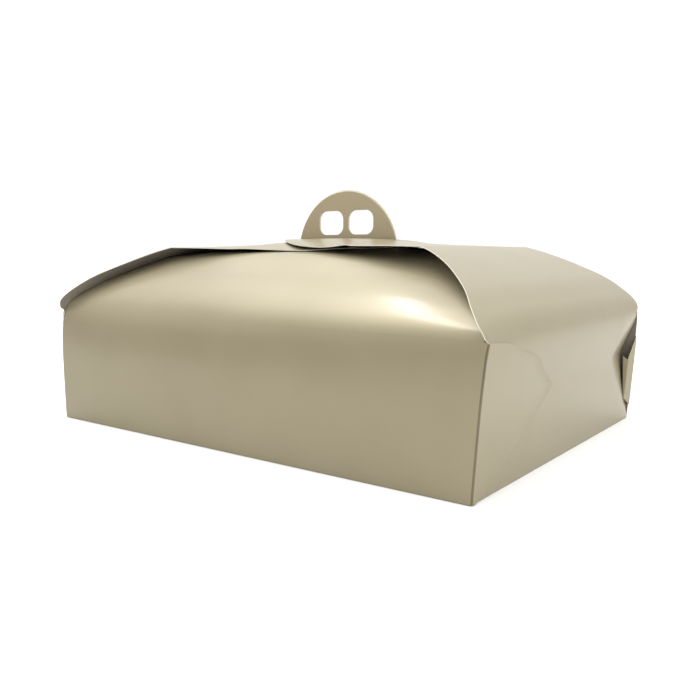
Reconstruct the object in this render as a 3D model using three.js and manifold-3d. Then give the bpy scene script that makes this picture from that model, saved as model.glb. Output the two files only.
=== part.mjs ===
// A cake carton with a carrying handle, die-cut and folded from one sheet of satin laminated board.
// Millimetres, +Z up, origin at the middle of the base's underside. X runs along the long side.
// The two long walls curve over as a dome and end in the half-moon handle. The two short walls curve
// over the dome as shoulders and end in slotted tongues, which the handle passes through. The right
// tongue lies on top and is the flap that opens first, so it is a mesh of its own.
import * as THREE from "three";
import { mergeVertices } from "three/addons/utils/BufferGeometryUtils.js";
import Module from "manifold-3d";

const wasm = await Module();
wasm.setup();

// Overall sizes
const LENGTH = 400;
const WIDTH = 295;
const WALL_HEIGHT = 95;
const BOARD = 0.6;

// End walls: how far the top of each leans out, how far the glued ears bite into the wall and stand
// proud at the corner fold, and the gap between the right wall's free back edge and the back panel
const RIGHT_FLARE = 6.5;
const LEFT_FLARE = 3;
const GLUE_BITE = 0.25;
const FOLD_BEAD = 0.15;
const FREE_EDGE_GAP = 0.9;
const FREE_EDGE_OPENING = 4;

// The right wall is pushed in along a soft level bend, most of all at its back edge, where the ear
// has come unglued. The dent at the back edge is a facet that narrows to the corners.
const BEND_HEIGHT = 0.61 * WALL_HEIGHT;
const BEND_SOFTNESS = 0.05;
const WALL_SAG = 3;
const SAG_RUN = 100;
const EDGE_DENT = 9.5;
const DENT_SPAN = 55.5;

// Shoulders: they run up from the end walls to a straight crease across the box
const CREASE_X = 127;
const CREASE_HALF = 85.6;
const CREASE_HEIGHT = 149.6;
const SHOULDER_BULGE = 5;

// Dome: the front and back panels, their clearance under the shoulders, and the fold at the foot of
// the handle, which lies a little above the creases
const DOME_CLEARANCE = 0.5;
const FOLD_RISE = 0.4;
const FOLD_HEIGHT = CREASE_HEIGHT + FOLD_RISE;

// Handle: two half-moon layers, back to back, with two finger holes
const HANDLE_RADIUS = 52.2;
const HANDLE_SINK = 5.7;
const LAYER_GAP = 0.4;
const BACK_LAYER_RISE = 1.3;
const HANDLE_FOOT_LAP = 1;
const HOLE_WIDTH = 25.8;
const HOLE_HEIGHT = 20.3;
const HOLE_CORNER = 7.5;
const HOLE_RISE = 10.2;
const HOLE_BAR = 5.6;

// Slots in the tongues, longer and wider than the handle that passes through
const SLOT_END_CLEARANCE = 1.4;
const SLOT_SIDE_CLEARANCE = 0.9;

// Tongues: a straight taper as far as the middle of the handle, then a rounded point past the slot
const TIP_MARGIN = 14.4;
const TONGUE_REACH = CREASE_X + HANDLE_RADIUS + SLOT_END_CLEARANCE + TIP_MARGIN;
const TAPER_REACH = CREASE_X;
const TAPER_HALF = 56;
const TIP_POWER = 1.7;
const TIP_HALF = 1;
const CREASE_GAP = 0.4;

// How high each tongue is crowned above its crease, and how much its edges sag below its middle
const LEFT_CROWN = 5.4;
const LEFT_SAG = 7.8;
const TONGUE_CLEARANCE = 1.6;
const RIGHT_CROWN = LEFT_CROWN + BOARD + TONGUE_CLEARANCE;
const RIGHT_SAG = 7;

// Corner ears: how far they reach along the end walls
const EAR_REACH = 105;

// The ear that has come unglued: a face along the corner, and a lip that curls in from it
const LOOSE_FACE = 11.8;
const LOOSE_LIP = 4.5;
const LIP_NARROWING = 0.2;
const LIP_ANGLE = 75;
const LOOSE_BOTTOM = 12.5;
const LOOSE_TOP = 73;
const LIP_BOTTOM = 19.5;
const LIP_DIP = 53;
const LIP_TOP = 56;

const HALF_LENGTH = LENGTH / 2;
const HALF_WIDTH = WIDTH / 2;

// Points of a joined solid that lie closer together than this are made one.
const JOIN_TOLERANCE = 0.01;

// Linear steps from a to b, both included.
const steps = (a, b, count) =>
  Array.from({ length: count + 1 }, (_, i) => a + ((b - a) * i) / count);

// A smooth function through a few hand-picked points, each [where, value], with where rising.
function smoothThrough(points) {
  const curve = new THREE.SplineCurve(points.map(([u, v]) => new THREE.Vector2(u, v)));
  const dense = curve.getPoints(24 * points.length);
  return (u) => {
    const next = dense.findIndex((p) => p.x >= u);
    if (next < 0) return dense[dense.length - 1].y;
    if (next === 0) return dense[0].y;
    const [p, q] = [dense[next - 1], dense[next]];
    return p.y + ((q.y - p.y) * (u - p.x)) / (q.x - p.x);
  };
}

// Signed volume of a closed triangle mesh, to tell whether its faces point out.
function signedVolume(positions, index) {
  const corner = (i) => new THREE.Vector3().fromArray(positions, 3 * index[i]);
  let sum = 0;
  for (let i = 0; i < index.length; i += 3)
    sum += corner(i).dot(corner(i + 1).cross(corner(i + 2)));
  return sum / 6;
}

// A closed geometry as a solid that can be joined and cut.
function solid(geometry) {
  const bare = geometry.clone();
  bare.deleteAttribute("normal");
  bare.deleteAttribute("uv");
  const merged = mergeVertices(bare, 1e-4);
  const vertProperties = new Float32Array(merged.attributes.position.array);
  const triVerts = new Uint32Array(merged.index.array);
  if (signedVolume(vertProperties, triVerts) < 0)
    for (let i = 0; i < triVerts.length; i += 3)
      [triVerts[i + 1], triVerts[i + 2]] = [triVerts[i + 2], triVerts[i + 1]];
  return new wasm.Manifold(new wasm.Mesh({ numProp: 3, vertProperties, triVerts }));
}

// A bent sheet of board between two grids of points, the outer face and the inner one.
function sheet(outer, inner) {
  const rows = outer.length;
  const cols = outer[0].length;
  const points = [...outer.flat(), ...inner.flat()];
  const at = (face, r, c) => face * rows * cols + r * cols + c;
  const index = [];
  const quad = (a, b, c, d) => index.push(a, b, c, a, c, d);
  for (let r = 0; r + 1 < rows; r++)
    for (let c = 0; c + 1 < cols; c++) {
      quad(at(0, r, c), at(0, r, c + 1), at(0, r + 1, c + 1), at(0, r + 1, c));
      quad(at(1, r, c), at(1, r + 1, c), at(1, r + 1, c + 1), at(1, r, c + 1));
    }
  const rim = [];
  for (let c = 0; c < cols - 1; c++) rim.push([0, c]);
  for (let r = 0; r < rows - 1; r++) rim.push([r, cols - 1]);
  for (let c = cols - 1; c > 0; c--) rim.push([rows - 1, c]);
  for (let r = rows - 1; r > 0; r--) rim.push([r, 0]);
  rim.forEach(([r, c], i) => {
    const [nr, nc] = rim[(i + 1) % rim.length];
    quad(at(0, r, c), at(1, r, c), at(1, nr, nc), at(0, nr, nc));
  });
  const geometry = new THREE.BufferGeometry().setFromPoints(points);
  geometry.setIndex(index);
  return solid(geometry);
}

// The outer face of a bent panel with its inner face, which lies one board's thickness inwards. The
// outward side is on the right of the way up the rows, seen along them. The foot is cut level.
function thickened(outer) {
  const last = outer.length - 1;
  const inner = outer.map((line, r) => {
    const below = outer[Math.max(r - 1, 0)];
    const above = outer[Math.min(r + 1, last)];
    return line.map((point, c) => {
      const up = new THREE.Vector3().subVectors(above[c], below[c]);
      const next = line[Math.min(c + 1, line.length - 1)];
      const along = new THREE.Vector3().subVectors(next, line[Math.max(c - 1, 0)]);
      const out = along.cross(up);
      if (r === 0) out.z = 0;
      return point.clone().addScaledVector(out.normalize(), -BOARD);
    });
  });
  return [outer, inner];
}

const mirrorX = (grids) => grids.map((g) => g.map((l) => l.map((p) => new THREE.Vector3(-p.x, p.y, p.z))));
const mirrorY = (grids) => grids.map((g) => g.map((l) => l.map((p) => new THREE.Vector3(p.x, -p.y, p.z))));

// How far a panel has got towards the bend at a height: 0 at its foot and top, 1 at the bend.
function bendShare(z) {
  const span = z < BEND_HEIGHT ? BEND_HEIGHT : WALL_HEIGHT - BEND_HEIGHT;
  return 1 - Math.hypot((z - BEND_HEIGHT) / span, BEND_SOFTNESS) / Math.hypot(1, BEND_SOFTNESS);
}

// How far the right wall is pushed in at a place.
function dent(y, z) {
  const share = bendShare(z);
  const sag = WALL_SAG * share * Math.min((y + HALF_WIDTH) / SAG_RUN, 1);
  const facet = share - (HALF_WIDTH - y) / DENT_SPAN;
  return sag + (EDGE_DENT * (facet + Math.hypot(facet, BEND_SOFTNESS * share))) / 2;
}

// Where an end wall's outer face lies, measured out from the middle of the box.
const leaningX = (z, flare) => HALF_LENGTH + (flare * z) / WALL_HEIGHT;
const rightWallX = (y, z) => leaningX(z, RIGHT_FLARE) - dent(y, z);
const leftWallX = (y, z) => leaningX(z, LEFT_FLARE);

// Profiles of the bent panels are written as shares. A height runs from 0 at the foot over 1 at the
// wall's top to 2 at the panel's upper end.
const riseTo = (top) => (share) =>
  share <= 1 ? share * WALL_HEIGHT : WALL_HEIGHT + (share - 1) * (top - WALL_HEIGHT);
const shoulderRise = riseTo(CREASE_HEIGHT);
const domeRise = riseTo(FOLD_HEIGHT);
const between = (from, to) => (share) => from + (to - from) * share;

// A profile by height, from pairs of shares.
const profile = (rise, across, shares) => smoothThrough(shares.map(([up, over]) => [rise(up), across(over)]));

// The shoulder above the wall, from the bulge at its foot to the crease.
const SHOULDER_FOOT = 1.09;
const shoulderX = profile(shoulderRise, between(HALF_LENGTH, CREASE_X), [
  [SHOULDER_FOOT, -SHOULDER_BULGE / (HALF_LENGTH - CREASE_X)],
  [1.183, -0.023],
  [1.33, 0.075],
  [1.549, 0.258],
  [1.769, 0.551],
  [1.916, 0.804],
  [2, 1],
]);

// The shoulder's cut edge: half the panel's width.
const shoulderHalf = profile(shoulderRise, between(HALF_WIDTH, CREASE_HALF), [
  [1, 0.05],
  [SHOULDER_FOOT, 0.026],
  [1.183, 0.024],
  [1.33, 0.116],
  [1.549, 0.354],
  [1.769, 0.674],
  [1.916, 0.879],
  [2, 1],
]);

// The front and back panels: their distance from the middle of the box, at the ends of the box,
// where the wall stays upright for longest, and in the middle of its length.
const domeSpan = between((LAYER_GAP + BOARD) / 2, HALF_WIDTH);
const endDomeY = profile(domeRise, domeSpan, [
  [0, 1],
  [0.21, 1],
  [0.42, 0.999],
  [0.63, 0.996],
  [0.81, 0.988],
  [0.926, 0.979],
  [1.036, 0.959],
  [1.164, 0.92],
  [1.273, 0.864],
  [1.393, 0.786],
  [1.515, 0.685],
  [1.629, 0.576],
  [1.745, 0.447],
  [1.818, 0.325],
  [1.882, 0.203],
  [1.942, 0.095],
  [2, 0],
]);
const middleDomeY = profile(domeRise, domeSpan, [
  [0, 1],
  [0.21, 1.003],
  [0.42, 1.003],
  [0.63, 0.999],
  [0.81, 0.984],
  [0.953, 0.955],
  [1.155, 0.898],
  [1.342, 0.82],
  [1.505, 0.725],
  [1.64, 0.617],
  [1.742, 0.502],
  [1.816, 0.38],
  [1.869, 0.258],
  [1.909, 0.163],
  [1.958, 0.068],
  [2, 0],
]);

// How much of the middle profile a panel has, from its left end at -1 to its right end at 1.
const middleShare = smoothThrough([
  [-1, 0.3],
  [-0.8, 0.9],
  [-0.5, 1],
  [-0.2, 1],
  [0.2, 0.72],
  [0.6, 0.33],
  [0.9, 0.05],
  [1, 0],
]);
const domeY = (t, z) => THREE.MathUtils.lerp(endDomeY(z), middleDomeY(z), middleShare(t));

// How finely the bent panels are divided
const WALL_ROWS = 12;
const SHOULDER_ROWS = 16;
const DOME_ROWS = 20;
const DOME_COLUMNS = 8;
const DENTED_COLUMNS = 12;
const PLAIN_COLUMNS = 2;
const EAR_ROWS = 26;
const TONGUE_ROWS = 24;
const TONGUE_COLUMNS = 10;
const ROW_AFTER_WALL = 2;

// Heights from low to high that lie closer together towards the top, where a panel flattens out.
const flatteningSteps = (low, high, count) =>
  steps(0, Math.PI / 2, count).map((angle) => low + (high - low) * Math.sin(angle));

// One short side: the end wall and its shoulder up to the crease. The wall's edges lie inside the
// board of the long panels. A free back edge draws clear of the back panel between its two ends.
function endPanel(wallX, freeGap, columns) {
  const rows = [];
  for (const z of steps(0, WALL_HEIGHT, WALL_ROWS)) {
    const opened = THREE.MathUtils.clamp(bendShare(z) * FREE_EDGE_OPENING, 0, 1);
    const front = BOARD / 2 - endDomeY(z);
    const back = endDomeY(z) - BOARD / 2 - opened * freeGap;
    rows.push(steps(front, back, columns).map((y) => new THREE.Vector3(wallX(y, z), y, z)));
  }
  for (const z of flatteningSteps(WALL_HEIGHT + ROW_AFTER_WALL, CREASE_HEIGHT, SHOULDER_ROWS)) {
    const half = shoulderHalf(z);
    rows.push(steps(-half, half, columns).map((y) => new THREE.Vector3(shoulderX(z), y, z)));
  }
  return thickened(rows);
}

// Near the fold the dome's ends curve in from the shoulders to the foot of the handle.
const TUCK_SHARE = 1.836;
const underShoulderX = (z) => shoulderX(z + BOARD + DOME_CLEARANCE) - BOARD - DOME_CLEARANCE;
const tuckStart = underShoulderX(domeRise(TUCK_SHARE));
const domeTuckX = profile(domeRise, between(tuckStart, HANDLE_RADIUS), [
  [TUCK_SHARE, 0],
  [1.9, 0.29],
  [1.955, 0.66],
  [2, 1],
]);

// Half the length of a long panel at a height: into the ear's board, then just inside the shoulder.
function domeHalfLength(z, flare) {
  if (z <= WALL_HEIGHT) return leaningX(z, flare) + BOARD / 2;
  if (z >= domeRise(TUCK_SHARE)) return domeTuckX(z);
  return underShoulderX(Math.max(z, shoulderRise(SHOULDER_FOOT)));
}

// One long side: the wall and its half of the dome, up to the fold at the foot of the handle.
function longPanel() {
  const heights = [
    ...steps(0, WALL_HEIGHT, WALL_ROWS),
    ...flatteningSteps(WALL_HEIGHT + ROW_AFTER_WALL, FOLD_HEIGHT, DOME_ROWS),
  ];
  const rows = heights.map((z) => {
    const along = between(-domeHalfLength(z, LEFT_FLARE), domeHalfLength(z, RIGHT_FLARE));
    return steps(-1, 1, DOME_COLUMNS).map(
      (t) => new THREE.Vector3(along((1 + t) / 2), -domeY(t, z), z),
    );
  });
  return thickened(rows);
}

// How far a glued corner ear reaches along the end wall at a height: a slanting lower cut, a rounded
// tip and a wavy top edge.
const earReach = smoothThrough(
  [
    [0, 0.02],
    [0.53, 0.98],
    [0.642, 1],
    [0.726, 0.886],
    [0.821, 0.771],
    [0.879, 0.629],
    [0.9, 0.524],
    [0.953, 0.39],
    [0.979, 0.286],
    [1, 0.07],
  ].map(([up, out]) => [up * (WALL_HEIGHT - BOARD), out * EAR_REACH]),
);

// A corner ear of the front wall, wrapped round the corner and glued flat on the end wall.
function gluedEar(wallX) {
  const line = (z, lift) =>
    steps(0, 1, PLAIN_COLUMNS).map((t) => {
      const y = THREE.MathUtils.lerp(-endDomeY(z) - FOLD_BEAD, earReach(z) - HALF_WIDTH, t);
      return new THREE.Vector3(wallX(y, z) + lift, y, z);
    });
  const heights = steps(BOARD, WALL_HEIGHT - BOARD, EAR_ROWS);
  return [heights.map((z) => line(z, BOARD)), heights.map((z) => line(z, -GLUE_BITE))];
}

// The ear that has come unglued from the right wall's back edge: its lip's fold is the low point of
// its top edge, and the lip widens upwards.
function looseEar() {
  const angle = THREE.MathUtils.degToRad(LIP_ANGLE);
  const rows = steps(0, 1, WALL_ROWS).map((t) => {
    const place = (y, inwards, low, high) => {
      const z = THREE.MathUtils.lerp(low, high, t);
      const start = inwards === 0 && y > HALF_WIDTH - LOOSE_FACE ? endDomeY(z) + FOLD_BEAD : y;
      return new THREE.Vector3(leaningX(z, RIGHT_FLARE) + BOARD - inwards, start, z);
    };
    const fold = HALF_WIDTH - LOOSE_FACE;
    const lip = THREE.MathUtils.lerp(LIP_NARROWING, 1, t) * LOOSE_LIP;
    return [
      place(fold - lip * Math.cos(angle), lip * Math.sin(angle), LIP_BOTTOM, LIP_TOP),
      place(fold, 0, LIP_BOTTOM, LIP_DIP),
      place(HALF_WIDTH, 0, LOOSE_BOTTOM, LOOSE_TOP),
    ];
  });
  return thickened(rows);
}

// Half the width of a tongue at a distance from its crease.
function tongueHalf(reach) {
  if (reach <= TAPER_REACH) return CREASE_HALF + ((TAPER_HALF - CREASE_HALF) * reach) / TAPER_REACH;
  const past = (reach - TAPER_REACH) / (TONGUE_REACH - TAPER_REACH);
  return Math.max(TAPER_HALF * (1 - past ** TIP_POWER), TIP_HALF);
}

// The rise of a tongue's middle and the sag of its edges, by reach, from pairs of shares.
const alongTongue = (most, shares) =>
  smoothThrough(shares.map(([reach, share]) => [reach * TONGUE_REACH, share * most]));
const leftRise = alongTongue(LEFT_CROWN, [
  [0, 0],
  [0.138, 0.28],
  [0.292, 0.56],
  [0.41, 0.89],
  [0.651, 1],
  [0.805, 0.72],
  [0.882, 0.41],
  [1, 0.17],
]);
const leftSag = alongTongue(LEFT_SAG, [
  [0, 0],
  [0.267, 0.49],
  [0.477, 0.89],
  [0.667, 1],
  [0.882, 0.36],
  [1, 0],
]);
const rightRise = alongTongue(RIGHT_CROWN, [
  [0, 0],
  [0.133, 0.17],
  [0.272, 0.36],
  [0.364, 0.61],
  [0.42, 0.84],
  [0.651, 1],
  [0.908, 0.95],
  [1, 0.87],
]);
const rightSag = alongTongue(RIGHT_SAG, [
  [0, 0],
  [0.205, 0.17],
  [0.333, 0.43],
  [0.513, 1],
  [0.667, 0.93],
  [0.897, 0.16],
  [1, 0],
]);

// A tongue on the right side, from a reach at its crease to its tip.
function tongue(start, rise, sag) {
  const line = (reach, drop) =>
    steps(-1, 1, TONGUE_COLUMNS).map((t) => {
      const z = CREASE_HEIGHT + rise(reach) - sag(reach) * t * t - drop;
      return new THREE.Vector3(CREASE_X - reach, t * tongueHalf(reach), z);
    });
  const reaches = steps(start, TONGUE_REACH, TONGUE_ROWS);
  return [reaches.map((r) => line(r, 0)), reaches.map((r) => line(r, BOARD))];
}

// The cutter for a tongue's slot: a long, narrow upright plate with round ends.
function slotCutter() {
  const halfWide = LAYER_GAP / 2 + BOARD + SLOT_SIDE_CLEARANCE;
  const halfLong = HANDLE_RADIUS + SLOT_END_CLEARANCE - halfWide;
  const shape = new THREE.Shape();
  shape.absarc(halfLong, 0, halfWide, -Math.PI / 2, Math.PI / 2);
  shape.absarc(-halfLong, 0, halfWide, Math.PI / 2, (3 * Math.PI) / 2);
  const depth = 2 * (RIGHT_CROWN + LEFT_SAG + BOARD);
  const geometry = new THREE.ExtrudeGeometry(shape, { depth, bevelEnabled: false, curveSegments: 6 });
  geometry.translate(0, 0, CREASE_HEIGHT - depth / 2);
  return solid(geometry);
}

// A rounded square finger hole, centred at x.
function fingerHole(x) {
  const [w, h, r] = [HOLE_WIDTH / 2, HOLE_HEIGHT / 2, HOLE_CORNER];
  const z = FOLD_HEIGHT + HOLE_RISE + h;
  const hole = new THREE.Path();
  hole.absarc(x + w - r, z - h + r, r, -Math.PI / 2, 0);
  hole.absarc(x + w - r, z + h - r, r, 0, Math.PI / 2);
  hole.absarc(x - w + r, z + h - r, r, Math.PI / 2, Math.PI);
  hole.absarc(x - w + r, z - h + r, r, Math.PI, (3 * Math.PI) / 2);
  return hole;
}

// One layer of the handle. side is -1 for the front layer and 1 for the back one.
function handleLayer(side) {
  const centre = FOLD_HEIGHT - HANDLE_SINK + (side > 0 ? BACK_LAYER_RISE : 0);
  const foot = FOLD_HEIGHT - HANDLE_FOOT_LAP;
  const start = Math.asin((foot - centre) / HANDLE_RADIUS);
  const shape = new THREE.Shape();
  shape.absarc(0, centre, HANDLE_RADIUS, start, Math.PI - start);
  const holeX = (HOLE_BAR + HOLE_WIDTH) / 2;
  shape.holes.push(fingerHole(-holeX), fingerHole(holeX));
  const geometry = new THREE.ExtrudeGeometry(shape, { depth: BOARD, bevelEnabled: false, curveSegments: 24 });
  geometry.rotateX(Math.PI / 2);
  const nearFace = side < 0 ? -LAYER_GAP / 2 : LAYER_GAP / 2 + BOARD;
  geometry.translate(0, nearFace, 0);
  return solid(geometry);
}

// The base ends inside the board of the walls that stand round it.
function basePanel() {
  const geometry = new THREE.BoxGeometry(LENGTH - BOARD, WIDTH - BOARD, BOARD);
  geometry.translate(0, 0, BOARD / 2);
  return solid(geometry);
}

// The whole folded sheet apart from the right tongue.
function carton() {
  const joined = [
    basePanel(),
    sheet(...longPanel()),
    sheet(...mirrorY(longPanel())),
    sheet(...endPanel(rightWallX, BOARD / 2 + FREE_EDGE_GAP, DENTED_COLUMNS)),
    sheet(...mirrorX(endPanel(leftWallX, 0, PLAIN_COLUMNS))),
    sheet(...gluedEar(rightWallX)),
    sheet(...mirrorX(gluedEar(leftWallX))),
    sheet(...mirrorX(mirrorY(gluedEar(leftWallX)))),
    sheet(...looseEar()),
    handleLayer(-1),
    handleLayer(1),
  ].reduce((whole, piece) => whole.add(piece));
  const leftTongue = sheet(...mirrorX(tongue(-BOARD, leftRise, leftSag))).subtract(slotCutter());
  return joined.add(leftTongue).simplify(JOIN_TOLERANCE);
}

function topFlap() {
  return sheet(...tongue(CREASE_GAP + BOARD / 2, rightRise, rightSag)).subtract(slotCutter());
}

// A named mesh from a finished solid.
function meshOf(name, finished, material) {
  const { numProp, vertProperties, triVerts } = finished.getMesh();
  const positions = new Float32Array((vertProperties.length / numProp) * 3);
  for (let i = 0; i < positions.length / 3; i++)
    positions.set(vertProperties.subarray(i * numProp, i * numProp + 3), 3 * i);
  const geometry = new THREE.BufferGeometry();
  geometry.setAttribute("position", new THREE.BufferAttribute(positions, 3));
  geometry.setIndex(new THREE.BufferAttribute(triVerts, 1));
  geometry.computeVertexNormals();
  const mesh = new THREE.Mesh(geometry, material);
  mesh.name = name;
  return mesh;
}

const laminatedBoard = () =>
  new THREE.MeshStandardMaterial({ color: 0xc9bd9e, roughness: 0.4, metalness: 0.6 });

const cakeBox = new THREE.Group();
cakeBox.name = "cake_box";
cakeBox.add(meshOf("carton", carton(), laminatedBoard()));
cakeBox.add(meshOf("slotted_top_flap", topFlap(), laminatedBoard()));

export default cakeBox;
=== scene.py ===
"""A folded cake carton of satin champagne board: fine surfaces, materials, light and camera.

The sheet of board is drawn panel by panel. Panels are grids of points in millimetres, rows by columns,
on the board's outer face, drawn for the +X or front side and mirrored for the other.
"""
import math

import bmesh
import bpy
import numpy as np
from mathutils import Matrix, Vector


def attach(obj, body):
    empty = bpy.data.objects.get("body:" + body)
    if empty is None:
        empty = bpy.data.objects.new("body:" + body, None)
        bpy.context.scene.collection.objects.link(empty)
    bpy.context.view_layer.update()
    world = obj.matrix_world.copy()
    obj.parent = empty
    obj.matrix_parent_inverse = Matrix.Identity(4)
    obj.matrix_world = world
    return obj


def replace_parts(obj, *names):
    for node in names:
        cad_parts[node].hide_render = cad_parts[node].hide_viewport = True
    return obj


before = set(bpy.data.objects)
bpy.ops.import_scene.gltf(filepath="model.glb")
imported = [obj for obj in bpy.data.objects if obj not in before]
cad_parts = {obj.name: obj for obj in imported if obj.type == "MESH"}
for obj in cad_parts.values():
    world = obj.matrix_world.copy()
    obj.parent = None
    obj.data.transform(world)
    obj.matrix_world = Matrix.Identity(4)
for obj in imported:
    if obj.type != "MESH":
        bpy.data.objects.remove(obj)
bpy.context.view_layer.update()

MM = 0.001

# Driving sizes, in millimetres, the same as in the part's source
HALF_LENGTH = 200.0
HALF_WIDTH = 147.5
WALL_HEIGHT = 95.0
BOARD = 0.6
RIGHT_FLARE = 6.5
LEFT_FLARE = 3.0
FREE_EDGE_GAP = 0.9
FREE_EDGE_OPENING = 4.0
BEND_HEIGHT = 0.61 * WALL_HEIGHT
WALL_SAG = 3.0
SAG_RUN = 100.0
EDGE_DENT = 9.5
DENT_SPAN = 55.5
CREASE_X = 127.0
CREASE_HALF = 85.6
CREASE_HEIGHT = 149.6
SHOULDER_BULGE = 5.0
DOME_CLEARANCE = 0.5
FOLD_RISE = 0.4
FOLD_HEIGHT = CREASE_HEIGHT + FOLD_RISE
HANDLE_RADIUS = 52.2
HANDLE_SINK = 5.7
HANDLE_CENTRE = FOLD_HEIGHT - HANDLE_SINK
HANDLE_FOOT_LAP = 1.0
LAYER_GAP = 0.4
BACK_LAYER_RISE = 1.3
HOLE_WIDTH = 25.8
HOLE_HEIGHT = 20.3
HOLE_CORNER = 7.5
HOLE_RISE = 10.2
HOLE_FLOOR = FOLD_HEIGHT + HOLE_RISE
HOLE_BAR = 5.6
SLOT_END_CLEARANCE = 1.4
SLOT_SIDE_CLEARANCE = 0.9
TIP_MARGIN = 14.4
TONGUE_REACH = CREASE_X + HANDLE_RADIUS + SLOT_END_CLEARANCE + TIP_MARGIN
TAPER_REACH = CREASE_X
TAPER_HALF = 56.0
TIP_POWER = 1.7
LEFT_CROWN = 5.4
LEFT_SAG = 7.8
TONGUE_CLEARANCE = 1.6
RIGHT_CROWN = LEFT_CROWN + BOARD + TONGUE_CLEARANCE
RIGHT_SAG = 7.0
EAR_REACH = 105.0
LOOSE_FACE = 11.8
LOOSE_LIP = 4.5
LIP_NARROWING = 0.2
LIP_ANGLE = 75.0
LOOSE_BOTTOM = 12.5
LOOSE_TOP = 73.0
LIP_BOTTOM = 19.5
LIP_DIP = 53.0
LIP_TOP = 56.0

# What differs here from the source: softer bends, a finer tongue tip, a loose ear that leans in, and a
# flap that starts nearer its crease
BEND_SOFTNESS = 0.08
FACET_SOFTNESS = 0.3
TIP_HALF = 0.6
LOOSE_LEAN = 2.3
FLAP_START = 0.1

# The radius of the folds, and where the rows above a fold start
FOLD_RADIUS = 1.1
FOLD_ROWS = 6
WALL_START = 2.0
DOME_START = 0.6
SHOULDER_START = 2.0

# The heights between which an end wall rounds into its shoulder, and how that run shrinks at its edges
ROUND_LOW, ROUND_HIGH = 66.0, 112.0
ROUND_FADE, EDGE_ROUND_LOSS = 32.0, 19.0

# The glued ears: points round their corner fold, the lift of their free edge, the film of glue under
# them, and how far out they may reach, which is as far as the solids do
ARC_STEPS = 7
EAR_LIFT = 0.7
LIFT_RUN = 16.0
GLUE_FILM = 0.02
LEFT_MOST, RIGHT_MOST = 204.98, 207.05

# The base lies just inside the folds of the walls
BASE_INSET_X, BASE_INSET_Y = 1.0, 0.95

# How far the cutting prisms reach: up through a tongue, and across a handle layer
SLOT_CUT = (130, 175)
HOLE_CUT = (-5, 5)

# Material slots of a piece
FACE_SLOT, INSIDE_SLOT, RIM_SLOT, CREASE_SHADE_SLOT = range(4)

# Sizes of the grain in the materials, in noise cells a metre
GRAIN_SCALE = 1600
CLOUD_SCALE = 14
FIBRE_SCALE = 700

# Half the side of the floor, in metres
FLOOR_HALF = 8.0

# The camera, fitted to the photograph's corners and creases: pixels, metres and degrees
FOCAL_PIXELS = 757.9
FRAME_PIXELS = 700
SENSOR_WIDTH = 36
CAMERA_PLACE = (0.3953, -0.5269, 0.1459)
CAMERA_PITCH = 7.41
CAMERA_TURN = 36.61
CLIP_START = 0.01


def smooth_through(points):
    """A smooth function through a few given points, each (where, value), with where rising."""
    pts = np.array(points, float)
    dense = []
    for i in range(len(pts) - 1):
        before, start = pts[max(i - 1, 0)], pts[i]
        end, after = pts[i + 1], pts[min(i + 2, len(pts) - 1)]
        leave, arrive = (end - before) / 2, (after - start) / 2
        for t in np.linspace(0, 1, 25)[:-1]:
            cubic = (2 * start - 2 * end + leave + arrive) * t**3
            square = (3 * end - 3 * start - 2 * leave - arrive) * t**2
            dense.append(cubic + square + leave * t + start)
    dense.append(pts[-1])
    dense = np.array(dense)
    return lambda u: np.interp(u, dense[:, 0], dense[:, 1])


def bend_share(z):
    """How far a panel has got towards the bend at a height: 0 at its foot and top, 1 at the bend."""
    span = BEND_HEIGHT if z < BEND_HEIGHT else WALL_HEIGHT - BEND_HEIGHT
    return 1 - math.hypot((z - BEND_HEIGHT) / span, BEND_SOFTNESS) / math.hypot(1, BEND_SOFTNESS)


def dent(y, z):
    """How far the right wall is pushed in at a place."""
    share = bend_share(z)
    sag = WALL_SAG * share * min((y + HALF_WIDTH) / SAG_RUN, 1)
    facet = share - (HALF_WIDTH - y) / DENT_SPAN
    return sag + EDGE_DENT * (facet + math.hypot(facet, FACET_SOFTNESS * share)) / 2


def leaning_x(z, flare):
    """Where an end wall's outer face lies before it is dented, measured out from the middle."""
    return HALF_LENGTH + flare * z / WALL_HEIGHT


def right_wall_x(y, z):
    """The right end wall's outer face, dented."""
    return leaning_x(z, RIGHT_FLARE) - dent(y, z)


def left_wall_x(y, z):
    """The left end wall's outer face, which is flat, so y makes no difference."""
    return leaning_x(z, LEFT_FLARE)


def rise_to(top):
    """Heights by share: 0 at the foot, 1 at the wall's top, 2 at the panel's upper end."""
    return lambda share: (share * WALL_HEIGHT if share <= 1
                          else WALL_HEIGHT + (share - 1) * (top - WALL_HEIGHT))


shoulder_rise = rise_to(CREASE_HEIGHT)
dome_rise = rise_to(FOLD_HEIGHT)


def profile(rise, start, end, shares):
    """A profile by height, from pairs of shares."""
    return smooth_through([(rise(up), start + (end - start) * over) for up, over in shares])


# The shoulders: their height profile, and half their width by height
SHOULDER_FOOT = 1.09
shoulder_x = profile(shoulder_rise, HALF_LENGTH, CREASE_X, [
    (SHOULDER_FOOT, -SHOULDER_BULGE / (HALF_LENGTH - CREASE_X)),
    (1.183, -0.023), (1.33, 0.075), (1.549, 0.258), (1.769, 0.551), (1.916, 0.804), (2, 1),
])
shoulder_half = profile(shoulder_rise, HALF_WIDTH, CREASE_HALF, [
    (1, 0.05), (SHOULDER_FOOT, 0.026), (1.183, 0.024), (1.33, 0.116), (1.549, 0.354),
    (1.769, 0.674), (1.916, 0.879), (2, 1),
])

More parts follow.
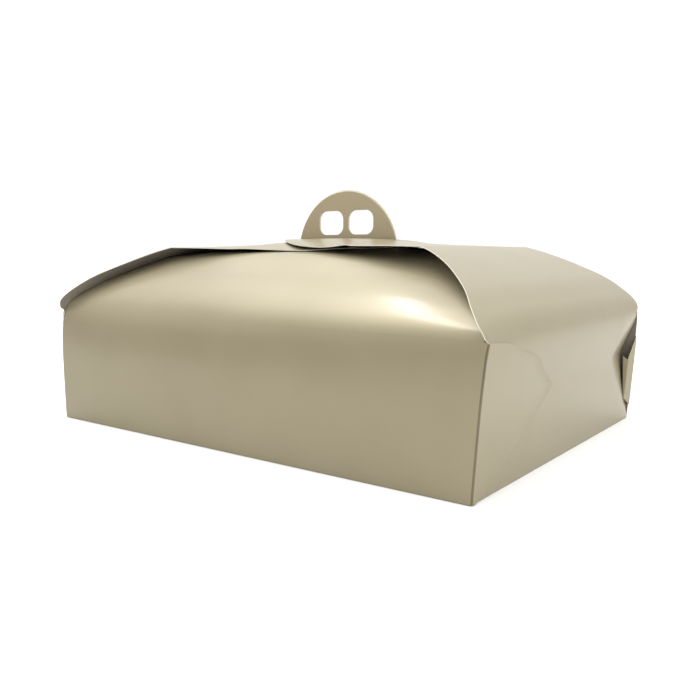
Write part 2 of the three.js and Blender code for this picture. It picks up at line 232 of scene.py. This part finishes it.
# The dome, at the ends of a long panel and in its middle. It comes up closer under the tongues' edges
# than the source's does.
FOLD_HALF = (LAYER_GAP + BOARD) / 2
end_dome_y = profile(dome_rise, FOLD_HALF, HALF_WIDTH, [
    (0, 1), (0.21, 1), (0.42, 0.999), (0.63, 0.996), (0.81, 0.988), (0.926, 0.979),
    (1.036, 0.959), (1.164, 0.92), (1.273, 0.864), (1.393, 0.786), (1.515, 0.698),
    (1.629, 0.613), (1.745, 0.525), (1.83, 0.45), (1.89, 0.36), (1.935, 0.22), (2, 0),
])
middle_dome_y = profile(dome_rise, FOLD_HALF, HALF_WIDTH, [
    (0, 1), (0.21, 1.003), (0.42, 1.003), (0.63, 0.999), (0.81, 0.984), (0.953, 0.955),
    (1.155, 0.898), (1.342, 0.82), (1.505, 0.725), (1.62, 0.650), (1.74, 0.575),
    (1.85, 0.505), (1.905, 0.45), (1.925, 0.38), (1.947, 0.25), (1.972, 0.12), (2, 0),
])
middle_share = smooth_through([
    (-1, 0.3), (-0.8, 0.9), (-0.5, 1), (-0.2, 1), (0.2, 0.72), (0.6, 0.33), (0.9, 0.05), (1, 0),
])


def dome_y(t, z):
    """A long panel's distance from the middle of the box; t runs from its left end, -1, to 1."""
    ends, middle = float(end_dome_y(z)), float(middle_dome_y(z))
    return ends + (middle - ends) * float(middle_share(t))


def under_shoulder_x(z):
    """How far out the dome may reach at a height, to stay just inside the shoulder."""
    return float(shoulder_x(z + BOARD + DOME_CLEARANCE)) - BOARD - DOME_CLEARANCE


# From here up the long panels' ends run in to the handle's foot
TUCK_SHARE = 1.836
TUCK_HEIGHT = dome_rise(TUCK_SHARE)
dome_tuck_x = profile(dome_rise, under_shoulder_x(TUCK_HEIGHT), HANDLE_RADIUS, [
    (TUCK_SHARE, 0), (1.9, 0.29), (1.955, 0.66), (2, 1),
])


def dome_half_length(z, flare):
    """Half the length of a long panel at a height: to the corner fold, then just inside the shoulder."""
    if z <= WALL_HEIGHT:
        return leaning_x(z, flare) + BOARD - FOLD_RADIUS
    if z >= TUCK_HEIGHT:
        return float(dome_tuck_x(z))
    return under_shoulder_x(max(z, shoulder_rise(SHOULDER_FOOT)))


# The wavy edge of a glued ear: how far it reaches, by height
ear_reach = smooth_through([(up * (WALL_HEIGHT - BOARD), out * EAR_REACH) for up, out in [
    (0, 0.02), (0.53, 0.98), (0.642, 1), (0.726, 0.886), (0.821, 0.771), (0.879, 0.629),
    (0.9, 0.524), (0.953, 0.39), (0.979, 0.286), (1, 0.07),
]])


def along_tongue(most, shares):
    """The rise of a tongue's middle or the sag of its edges, by reach, from pairs of shares."""
    return smooth_through([(reach * TONGUE_REACH, share * most) for reach, share in shares])


left_rise = along_tongue(LEFT_CROWN, [
    (0, 0), (0.138, 0.28), (0.292, 0.56), (0.41, 0.89), (0.651, 1), (0.805, 0.72), (0.882, 0.41),
    (1, 0.17),
])
left_sag = along_tongue(LEFT_SAG, [
    (0, 0), (0.267, 0.49), (0.477, 0.89), (0.667, 1), (0.882, 0.36), (1, 0),
])
right_rise = along_tongue(RIGHT_CROWN, [
    (0, 0), (0.133, 0.17), (0.272, 0.36), (0.364, 0.61), (0.42, 0.84), (0.651, 1), (0.908, 0.95),
    (1, 0.87),
])
right_sag = along_tongue(RIGHT_SAG, [
    (0, 0), (0.205, 0.17), (0.333, 0.43), (0.513, 1), (0.667, 0.93), (0.897, 0.16), (1, 0),
])


def tongue_half(reach):
    """Half the width of a tongue at a distance from its crease."""
    taper = CREASE_HALF + (TAPER_HALF - CREASE_HALF) * reach / TAPER_REACH
    past = np.clip((reach - TAPER_REACH) / (TONGUE_REACH - TAPER_REACH), 0, 1)
    tip = np.maximum(TAPER_HALF * (1 - past**TIP_POWER), TIP_HALF)
    return np.where(reach <= TAPER_REACH, taper, tip)


def new_material(name):
    """A new material with its nodes, its links, its shader and the object's own coordinates."""
    mat = bpy.data.materials.new(name)
    mat.use_nodes = True
    nodes, links = mat.node_tree.nodes, mat.node_tree.links
    return mat, nodes, links, nodes["Principled BSDF"], nodes.new("ShaderNodeTexCoord")


def noise(nodes, links, coords, scale, detail):
    """A noise over the object; gives its value."""
    node = nodes.new("ShaderNodeTexNoise")
    node.inputs["Scale"].default_value = scale
    node.inputs["Detail"].default_value = detail
    node.inputs["Roughness"].default_value = 0.6
    links.new(coords.outputs["Object"], node.inputs["Vector"])
    return node.outputs["Fac"]


def tone(nodes, links, shader, source, low, dark, high, light):
    """Colours the shader from dark to light as a noise goes from low to high."""
    node = nodes.new("ShaderNodeValToRGB")
    first, last = node.color_ramp.elements
    first.position, first.color = low, (*dark, 1)
    last.position, last.color = high, (*light, 1)
    links.new(source, node.inputs["Fac"])
    links.new(node.outputs["Color"], shader.inputs["Base Color"])


def bump(nodes, links, shader, source, strength, distance):
    """Gives the shader a fine relief from a noise."""
    node = nodes.new("ShaderNodeBump")
    node.inputs["Strength"].default_value = strength
    node.inputs["Distance"].default_value = distance
    links.new(source, node.inputs["Height"])
    links.new(node.outputs["Normal"], shader.inputs["Normal"])


def laminate_material(name, dark, light):
    """Satin film with a soft metallic sheen, a fine grain in its gloss and slow clouds in its tone."""
    mat, nodes, links, shader, coords = new_material(name)
    grain = noise(nodes, links, coords, GRAIN_SCALE, 3)
    clouds = noise(nodes, links, coords, CLOUD_SCALE, 2)
    tone(nodes, links, shader, clouds, 0.3, dark, 0.7, light)
    shader.inputs["Metallic"].default_value = 0.25
    shader.inputs["Specular IOR Level"].default_value = 0.12
    shader.inputs["Coat Weight"].default_value = 0.28
    shader.inputs["Coat Roughness"].default_value = 0.15
    gloss = nodes.new("ShaderNodeMapRange")
    gloss.inputs["To Min"].default_value = 0.34
    gloss.inputs["To Max"].default_value = 0.44
    links.new(grain, gloss.inputs["Value"])
    links.new(gloss.outputs["Result"], shader.inputs["Roughness"])
    bump(nodes, links, shader, grain, 0.16, 0.0002)
    return mat


def board_material(name, dark, light, roughness):
    """Bare board: matt, with pulp mottling and a faint fibre bump."""
    mat, nodes, links, shader, coords = new_material(name)
    fibre = noise(nodes, links, coords, FIBRE_SCALE, 5)
    tone(nodes, links, shader, fibre, 0.35, dark, 0.65, light)
    shader.inputs["Roughness"].default_value = roughness
    bump(nodes, links, shader, fibre, 0.25, 0.0003)
    return mat


LAMINATE = laminate_material("satin_laminate", (0.272, 0.236, 0.150), (0.290, 0.253, 0.163))
# The corner folds' film: a darker copy of the laminate, painted shade for the dark line along a rounded
# fold
CREASE_SHADE = laminate_material("crease_shade_laminate", (0.13, 0.105, 0.065), (0.16, 0.13, 0.085))
# The handle's film: the same laminate as the box, made lighter as painted light
HANDLE_LIT_FILM = laminate_material("handle_lit_laminate", (0.40, 0.334, 0.218), (0.425, 0.356, 0.235))
# The board's inner face: its own bare board colour, made darker still as painted shade for the dim
# inside of the closed box
SHADED_INSIDE = board_material("board_inside_shaded", (0.19, 0.17, 0.135), (0.235, 0.21, 0.17), 0.8)
CUT_EDGE = board_material("cut_edge", (0.66, 0.61, 0.50), (0.78, 0.74, 0.63), 0.85)


def grid_normals(grid):
    """Unit normals of a grid of points, rows by columns, along cross(columns, rows)."""
    along_rows = np.gradient(grid, axis=0)
    along_cols = np.gradient(grid, axis=1)
    normal = np.cross(along_cols, along_rows)
    return normal / np.maximum(np.linalg.norm(normal, axis=2, keepdims=True), 1e-9)


def board_sheet(name, outer, body, inner=None, flip=False, shaded_crease_cols=0):
    """A sheet of board from the grid of its outer face, with its inner face and its rim.

    The inner face lies a board's thickness in, unless it is given. A mirrored grid is flipped, so that
    its faces point out. The first columns may be a crease, whose film is painted darker there as painted
    shade.
    """
    if inner is None:
        inner = outer - grid_normals(outer) * (-BOARD if flip else BOARD)
    rows, cols = outer.shape[:2]
    verts = np.concatenate([outer.reshape(-1, 3), inner.reshape(-1, 3)]) * MM
    at = lambda face, r, c: face * rows * cols + r * cols + c
    faces, slots = [], []
    for r in range(rows - 1):
        for c in range(cols - 1):
            faces.append((at(0, r, c), at(0, r, c + 1), at(0, r + 1, c + 1), at(0, r + 1, c)))
            # The crease's columns take the darker film: painted shade along the fold
            slots.append(CREASE_SHADE_SLOT if c < shaded_crease_cols else FACE_SLOT)
            faces.append((at(1, r, c), at(1, r + 1, c), at(1, r + 1, c + 1), at(1, r, c + 1)))
            slots.append(INSIDE_SLOT)
    rim = [(0, c) for c in range(cols - 1)]
    rim += [(r, cols - 1) for r in range(rows - 1)]
    rim += [(rows - 1, c) for c in range(cols - 1, 0, -1)]
    rim += [(r, 0) for r in range(rows - 1, 0, -1)]
    for (r, c), (nr, nc) in zip(rim, rim[1:] + rim[:1]):
        faces.append((at(0, r, c), at(1, r, c), at(1, nr, nc), at(0, nr, nc)))
        slots.append(RIM_SLOT)
    if flip:
        faces = [f[::-1] for f in faces]
    return make_piece(name, verts, faces, slots, body)


def make_piece(name, verts, faces, slots, body):
    """A visible piece in metres, in the board's materials, that rides on a body."""
    mesh = bpy.data.meshes.new(name)
    mesh.from_pydata([tuple(v) for v in verts], [], faces)
    for mat in (LAMINATE, SHADED_INSIDE, CUT_EDGE, CREASE_SHADE):
        mesh.materials.append(mat)
    mesh.polygons.foreach_set("material_index", slots)
    mesh.polygons.foreach_set("use_smooth", [s != RIM_SLOT for s in slots])
    mesh.update()
    obj = bpy.data.objects.new(name, mesh)
    bpy.context.scene.collection.objects.link(obj)
    mark_rim_sharp(obj)
    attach(obj, body)
    return obj


def mark_rim_sharp(obj):
    """Edges between the faces and the rim are cut edges, so they stay sharp."""
    mesh = obj.data
    kinds = {}
    for poly in mesh.polygons:
        for key in poly.edge_keys:
            kinds.setdefault(key, set()).add(poly.material_index == RIM_SLOT)
    for edge in mesh.edges:
        edge.use_edge_sharp = len(kinds.get(tuple(sorted(edge.vertices)), ())) > 1


def mirrored(grid, x=1, y=1):
    """A grid turned over to the other side of the box."""
    return grid * np.array([x, y, 1.0])


def fold_steps():
    """Heights and insets up the rounded fold at a wall's foot."""
    return [(FOLD_RADIUS * (1 - math.cos(a)), FOLD_RADIUS * (1 - math.sin(a)))
            for a in np.linspace(0, math.pi / 2, FOLD_ROWS)]


def up_a_curve(start, top, rows):
    """Heights from start to top that get closer together as a panel flattens."""
    return start + (top - start) * np.sin(np.linspace(0, math.pi / 2, rows))


def long_panel_grid(cols=141):
    """The front wall and its half of the dome: rows go up, columns to +X."""
    wall = [(z, 0.0) for z in np.linspace(WALL_START, WALL_HEIGHT, 60)]
    over = [(z, 0.0) for z in up_a_curve(WALL_HEIGHT + DOME_START, FOLD_HEIGHT, 90)]
    grid = []
    for z, inset in fold_steps() + wall + over:
        left, right = -dome_half_length(z, LEFT_FLARE), dome_half_length(z, RIGHT_FLARE)
        grid.append([(left + (right - left) * (1 + t) / 2, inset - dome_y(t, z), z)
                     for t in np.linspace(-1, 1, cols)])
    return np.array(grid)


def rounded_x(wall_x, y, z):
    """An end wall's face, rounded where it runs into its shoulder, less so near its edges."""
    sharp = max(1 - (HALF_WIDTH - abs(y)) / ROUND_FADE, 0)
    start, end = ROUND_LOW + EDGE_ROUND_LOSS * sharp, ROUND_HIGH - EDGE_ROUND_LOSS * sharp / 2
    if z <= start:
        return wall_x(y, z)
    if z >= end:
        return float(shoulder_x(z))
    span = end - start
    t = (z - start) / span
    low, high = wall_x(y, start), float(shoulder_x(end))
    low_slope = (low - wall_x(y, start - 1)) * span
    high_slope = (float(shoulder_x(end + 1)) - high) * span
    return ((1 + 2 * t) * (1 - t)**2 * low + t * (1 - t)**2 * low_slope
            + t * t * (3 - 2 * t) * high + t * t * (t - 1) * high_slope)


def end_panel_grid(wall_x, free_gap, cols=121):
    """The +X end wall and its shoulder: rows go up, columns to +Y, where its edge may stand free."""
    grid = []
    for z, inset in fold_steps():
        half = HALF_WIDTH - FOLD_RADIUS
        grid.append([(wall_x(y, z) - inset, y, z) for y in np.linspace(-half, half, cols)])
    for z in np.linspace(WALL_START, WALL_HEIGHT, 72):
        opened = min(max(bend_share(z) * FREE_EDGE_OPENING, 0), 1)
        edge = float(end_dome_y(z))
        line = np.linspace(BOARD / 2 - edge, edge - BOARD / 2 - opened * free_gap, cols)
        grid.append([(rounded_x(wall_x, y, z), y, z) for y in line])
    for z in up_a_curve(WALL_HEIGHT + SHOULDER_START, CREASE_HEIGHT, 60):
        half = float(shoulder_half(z))
        grid.append([(rounded_x(wall_x, y, z), y, z) for y in np.linspace(-half, half, cols)])
    return np.array(grid)


def corner_arc(z, flare, radius):
    """Points round a corner fold at a height, from the front panel's face to the end wall's side."""
    centre_x = leaning_x(z, flare) + BOARD - FOLD_RADIUS
    centre_y = FOLD_RADIUS - float(end_dome_y(z))
    return [(centre_x + radius * math.sin(a), centre_y - radius * math.cos(a), z)
            for a in np.linspace(0, math.pi / 2, ARC_STEPS)]


def ear_grids(wall_x, flare, rows=90, cols=40):
    """A glued ear at the +X front corner, wrapped round from the front wall: outer face and inner face.

    It stays flat where the wall behind it rounds off, and lifts a little at its free edge.
    """
    most = LEFT_MOST if flare == LEFT_FLARE else RIGHT_MOST
    lift = lambda y, z: (EAR_LIFT * max(1 - (float(ear_reach(z)) - HALF_WIDTH - y) / LIFT_RUN, 0)**2
                         * min((WALL_HEIGHT - z) / LIFT_RUN, 1))
    side = lambda y, z: max(wall_x(y, z), rounded_x(wall_x, y, z)) + lift(y, z)
    outer, inner = [], []
    for z in np.linspace(BOARD, WALL_HEIGHT - BOARD, rows):
        start = FOLD_RADIUS - float(end_dome_y(z))
        line = np.linspace(start, float(ear_reach(z)) - HALF_WIDTH, cols)[1:]
        outer.append(corner_arc(z, flare, FOLD_RADIUS)
                     + [(min(side(y, z) + BOARD, most), y, z) for y in line])
        inner.append(corner_arc(z, flare, FOLD_RADIUS - BOARD)
                     + [(min(side(y, z) + GLUE_FILM, most - BOARD), y, z) for y in line])
    return np.array(outer), np.array(inner)


def loose_ear_grid(rows=60, lip_cols=9, face_cols=13):
    """The ear that has come unglued, at the back right corner: rows go up, columns from its lip on."""
    angle = math.radians(LIP_ANGLE)
    fold = HALF_WIDTH - LOOSE_FACE
    grid = []
    for t in np.linspace(0, 1, rows):
        lip = (LIP_NARROWING + (1 - LIP_NARROWING) * t) * LOOSE_LIP
        line = []
        for s in np.linspace(1, 0, lip_cols):
            z = LIP_BOTTOM + (LIP_DIP + (LIP_TOP - LIP_DIP) * s - LIP_BOTTOM) * t
            turn = lip * s
            line.append((leaning_x(z, RIGHT_FLARE) + BOARD - LOOSE_LEAN - turn * math.sin(angle),
                         fold - turn * math.cos(angle), z))
        for s in np.linspace(0, 1, face_cols)[1:]:
            low = LIP_BOTTOM + (LOOSE_BOTTOM - LIP_BOTTOM) * s
            high = LIP_DIP + (LOOSE_TOP - LIP_DIP) * s
            z = low + (high - low) * t
            corner = float(end_dome_y(z)) - FOLD_RADIUS
            line.append((leaning_x(z, RIGHT_FLARE) + BOARD - LOOSE_LEAN * (1 - s),
                         fold + (corner - fold) * s, z))
        arc = [(x, -y, z) for x, y, z in corner_arc(line[-1][2], RIGHT_FLARE, FOLD_RADIUS)]
        grid.append(line + arc[::-1][1:])
    return np.array(grid)


def tongue_grid(rise, sag, rows=130, cols=61, start=0.0):
    """The top face of a tongue on the +X side: rows go in from the crease, columns to +Y."""
    grid = []
    for reach in np.linspace(start, TONGUE_REACH, rows):
        half = float(tongue_half(reach))
        z, drop = CREASE_HEIGHT + float(rise(reach)), float(sag(reach))
        grid.append([(CREASE_X - reach, t * half, z - drop * t * t) for t in np.linspace(-1, 1, cols)])
    return np.array(grid)


def cutter(name, outline, reach, axis="z"):
    """A closed prism to cut with, from its outline and how far it reaches along an axis."""
    low, high = reach
    n = len(outline)
    verts = [(a, b, low) for a, b in outline] + [(a, b, high) for a, b in outline]
    if axis == "y":
        verts = [(a, c, b) for a, b, c in verts]
    faces = [tuple(range(n))[::-1], tuple(range(n, 2 * n))]
    faces += [(i, (i + 1) % n, n + (i + 1) % n, n + i) for i in range(n)]
    mesh = bpy.data.meshes.new(name)
    mesh.from_pydata([tuple(c * MM for c in v) for v in verts], [], faces)
    mesh.validate()
    bm = bmesh.new()
    bm.from_mesh(mesh)
    bmesh.ops.recalc_face_normals(bm, faces=bm.faces)
    bm.to_mesh(mesh)
    bm.free()
    mesh.materials.append(CUT_EDGE)
    obj = bpy.data.objects.new(name, mesh)
    bpy.context.scene.collection.objects.link(obj)
    return obj


def cut_with(obj, tool):
    """Cuts tool out of obj for good, and removes tool."""
    mod = obj.modifiers.new("cut", "BOOLEAN")
    mod.operation = "DIFFERENCE"
    mod.object = tool
    mod.solver = "EXACT"
    mod.material_mode = "TRANSFER"
    bpy.context.view_layer.objects.active = obj
    with bpy.context.temp_override(object=obj, active_object=obj):
        bpy.ops.object.modifier_apply(modifier=mod.name)
    bpy.data.objects.remove(tool)


def slot_outline():
    """The slot in a tongue, with round ends: x and y."""
    half_wide = LAYER_GAP / 2 + BOARD + SLOT_SIDE_CLEARANCE
    half_long = HANDLE_RADIUS + SLOT_END_CLEARANCE - half_wide
    ends = np.linspace(-math.pi / 2, math.pi / 2, 13)
    right = [(half_long + half_wide * math.cos(a), half_wide * math.sin(a)) for a in ends]
    left = [(-x, -y) for x, y in right]
    return right + left


def hole_outline(centre_x):
    """A finger hole with round corners: x and z."""
    w, h, r = HOLE_WIDTH / 2, HOLE_HEIGHT / 2, HOLE_CORNER
    z = HOLE_FLOOR + h
    points = []
    for sx, sz, first in ((1, -1, -90), (1, 1, 0), (-1, 1, 90), (-1, -1, 180)):
        for a in np.radians(np.linspace(first, first + 90, 12)):
            points.append((centre_x + sx * (w - r) + r * math.cos(a),
                           z + sz * (h - r) + r * math.sin(a)))
    return points


def handle_layer(name, side):
    """One half-moon layer of the handle; side -1 is the front one."""
    centre = HANDLE_CENTRE + (BACK_LAYER_RISE if side > 0 else 0)
    foot = FOLD_HEIGHT - HANDLE_FOOT_LAP
    start = math.asin((foot - centre) / HANDLE_RADIUS)
    arc = [(HANDLE_RADIUS * math.cos(a), centre + HANDLE_RADIUS * math.sin(a))
           for a in np.linspace(start, math.pi - start, 97)]
    near = side * LAYER_GAP / 2
    far = side * (LAYER_GAP / 2 + BOARD)
    n = len(arc)
    verts = [(x * MM, y * MM, z * MM) for y in (far, near) for x, z in arc]
    outer, inner = tuple(range(n)), tuple(range(n, 2 * n))[::-1]
    rim = [(i, n + i, n + (i + 1) % n, (i + 1) % n) for i in range(n)]
    faces = [outer, inner] + rim
    if side > 0:
        faces = [f[::-1] for f in faces]
    layer = make_piece(name, verts, faces, [FACE_SLOT, INSIDE_SLOT] + [RIM_SLOT] * n, "box")
    for hole_side in (-1, 1):
        x = hole_side * (HOLE_BAR + HOLE_WIDTH) / 2
        cut_with(layer, cutter("hole", hole_outline(x), HOLE_CUT, axis="y"))
    # The handle's film is a lighter copy of the box's laminate, as painted light; its holes' edges are
    # pale, and its inner faces take the pale cut-edge board
    layer.data.materials[FACE_SLOT] = HANDLE_LIT_FILM
    layer.data.materials[INSIDE_SLOT] = CUT_EDGE
    return layer


def slotted_tongue(name, grid, body, flip=False):
    """A tongue of level thickness with the handle's slot cut out."""
    tongue = board_sheet(name, grid, body, inner=grid - np.array([0, 0, BOARD]), flip=flip)
    cut_with(tongue, cutter("slot", slot_outline(), SLOT_CUT))
    return tongue


def build_box():
    """Every panel of the folded sheet."""
    right_end = end_panel_grid(right_wall_x, BOARD / 2 + FREE_EDGE_GAP)
    left_end = mirrored(end_panel_grid(left_wall_x, 0), x=-1)
    made = [
        board_sheet("front_panel", long_panel_grid(), "box"),
        board_sheet("back_panel", mirrored(long_panel_grid(), y=-1), "box", flip=True),
        board_sheet("right_end_panel", right_end, "box"),
        board_sheet("left_end_panel", left_end, "box", flip=True),
        board_sheet("loose_back_ear", loose_ear_grid(), "box"),
    ]
    ears = (("front_right_ear", right_wall_x, RIGHT_FLARE, 1, 1),
            ("front_left_ear", left_wall_x, LEFT_FLARE, -1, 1),
            ("back_left_ear", left_wall_x, LEFT_FLARE, -1, -1))
    for name, wall_x, flare, x, y in ears:
        outer, inner = (mirrored(grid, x, y) for grid in ear_grids(wall_x, flare))
        made.append(board_sheet(name, outer, "box", inner=inner, flip=x * y < 0, shaded_crease_cols=ARC_STEPS - 1))
    half_x, half_y = HALF_LENGTH - BASE_INSET_X, HALF_WIDTH - BASE_INSET_Y
    base = np.array([[(x, y, 0.0) for x in np.linspace(-half_x, half_x, 41)]
                     for y in np.linspace(half_y, -half_y, 31)])
    made.append(board_sheet("base_panel", base, "box"))
    made.append(slotted_tongue("left_tongue", mirrored(tongue_grid(left_rise, left_sag), x=-1), "box"))
    made.append(handle_layer("handle_front_layer", -1))
    made.append(handle_layer("handle_back_layer", 1))
    for piece in made:
        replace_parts(piece, "carton")
    top = tongue_grid(right_rise, right_sag, start=FLAP_START)
    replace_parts(slotted_tongue("top_flap_sheet", top, "top_flap", flip=True), "slotted_top_flap")


def area_light(name, place, target, size, power):
    """A white rectangular lamp at a place, turned to a target; sizes in metres, power in watts."""
    light = bpy.data.lights.new(name, "AREA")
    light.shape = "RECTANGLE"
    light.size, light.size_y = size
    light.energy = power
    obj = bpy.data.objects.new(name, light)
    obj.location = place
    aim = Vector(target) - Vector(place)
    obj.rotation_euler = aim.to_track_quat("-Z", "Y").to_euler()
    bpy.context.scene.collection.objects.link(obj)


def ranged(nodes, links, source, low, high, start, end):
    """A value that goes smoothly from start to end as its source goes from low to high."""
    node = nodes.new("ShaderNodeMapRange")
    node.interpolation_type = "SMOOTHSTEP"
    node.inputs["From Min"].default_value = low
    node.inputs["From Max"].default_value = high
    node.inputs["To Min"].default_value = start
    node.inputs["To Max"].default_value = end
    links.new(source, node.inputs["Value"])
    return node.outputs["Result"]


def total(nodes, links, first, second):
    """The sum of two values."""
    node = nodes.new("ShaderNodeMath")
    node.operation = "ADD"
    links.new(first, node.inputs[0])
    links.new(second, node.inputs[1])
    return node.outputs["Value"]


def build_world():
    """A white studio, brighter overhead and at its back, dimmer in front."""
    world = bpy.data.worlds.new("studio")
    world.use_nodes = True
    nodes, links = world.node_tree.nodes, world.node_tree.links
    background = nodes["Background"]
    background.inputs["Color"].default_value = (1, 1, 1, 1)
    coords = nodes.new("ShaderNodeTexCoord")
    parts = nodes.new("ShaderNodeSeparateXYZ")
    links.new(coords.outputs["Generated"], parts.inputs["Vector"])
    height = ranged(nodes, links, parts.outputs["Z"], 0.2, 0.85, 0.0, 1.05)
    depth = ranged(nodes, links, parts.outputs["Y"], -1.05, 0.4, 0.38, 1.06)
    links.new(total(nodes, links, height, depth), background.inputs["Strength"])
    bpy.context.scene.world = world


def build_stage():
    """A white floor and the lamps."""
    mesh = bpy.data.meshes.new("floor")
    corners = [(x * FLOOR_HALF, y * FLOOR_HALF, 0) for x, y in ((-1, -1), (1, -1), (1, 1), (-1, 1))]
    mesh.from_pydata(corners, [], [(0, 1, 2, 3)])
    floor = bpy.data.objects.new("floor", mesh)
    bpy.context.scene.collection.objects.link(floor)
    mat = bpy.data.materials.new("white_floor")
    mat.use_nodes = True
    shader = mat.node_tree.nodes["Principled BSDF"]
    shader.inputs["Base Color"].default_value = (0.8, 0.8, 0.8, 1)
    shader.inputs["Emission Color"].default_value = (1, 1, 1, 1)
    shader.inputs["Emission Strength"].default_value = 0.12
    shader.inputs["Roughness"].default_value = 0.9
    shader.inputs["Specular IOR Level"].default_value = 0.0
    mesh.materials.append(mat)
    area_light("softbox", (-0.85, -0.05, 1.60), (0, 0, 0.1), (1.2, 1.2), 6)
    area_light("side_fill", (1.15, -0.15, 0.95), (0.2, 0, 0.1), (0.8, 0.8), 3.2)
    area_light("strip", (-0.70, 0.05, 1.50), (0.17, 0.28, 0.1), (1.05, 0.10), 8)


def build_camera():
    """The camera that the photograph was taken with, as fitted."""
    data = bpy.data.cameras.new("camera")
    data.sensor_width = SENSOR_WIDTH
    data.lens = FOCAL_PIXELS / FRAME_PIXELS * data.sensor_width
    data.clip_start = CLIP_START
    camera = bpy.data.objects.new("camera", data)
    camera.location = CAMERA_PLACE
    camera.rotation_euler = (math.radians(90 - CAMERA_PITCH), 0, math.radians(CAMERA_TURN))
    bpy.context.scene.collection.objects.link(camera)
    bpy.context.scene.camera = camera


bpy.context.scene.view_settings.view_transform = "Standard"
build_camera()
build_world()
build_stage()
build_box()
bpy.context.view_layer.update()
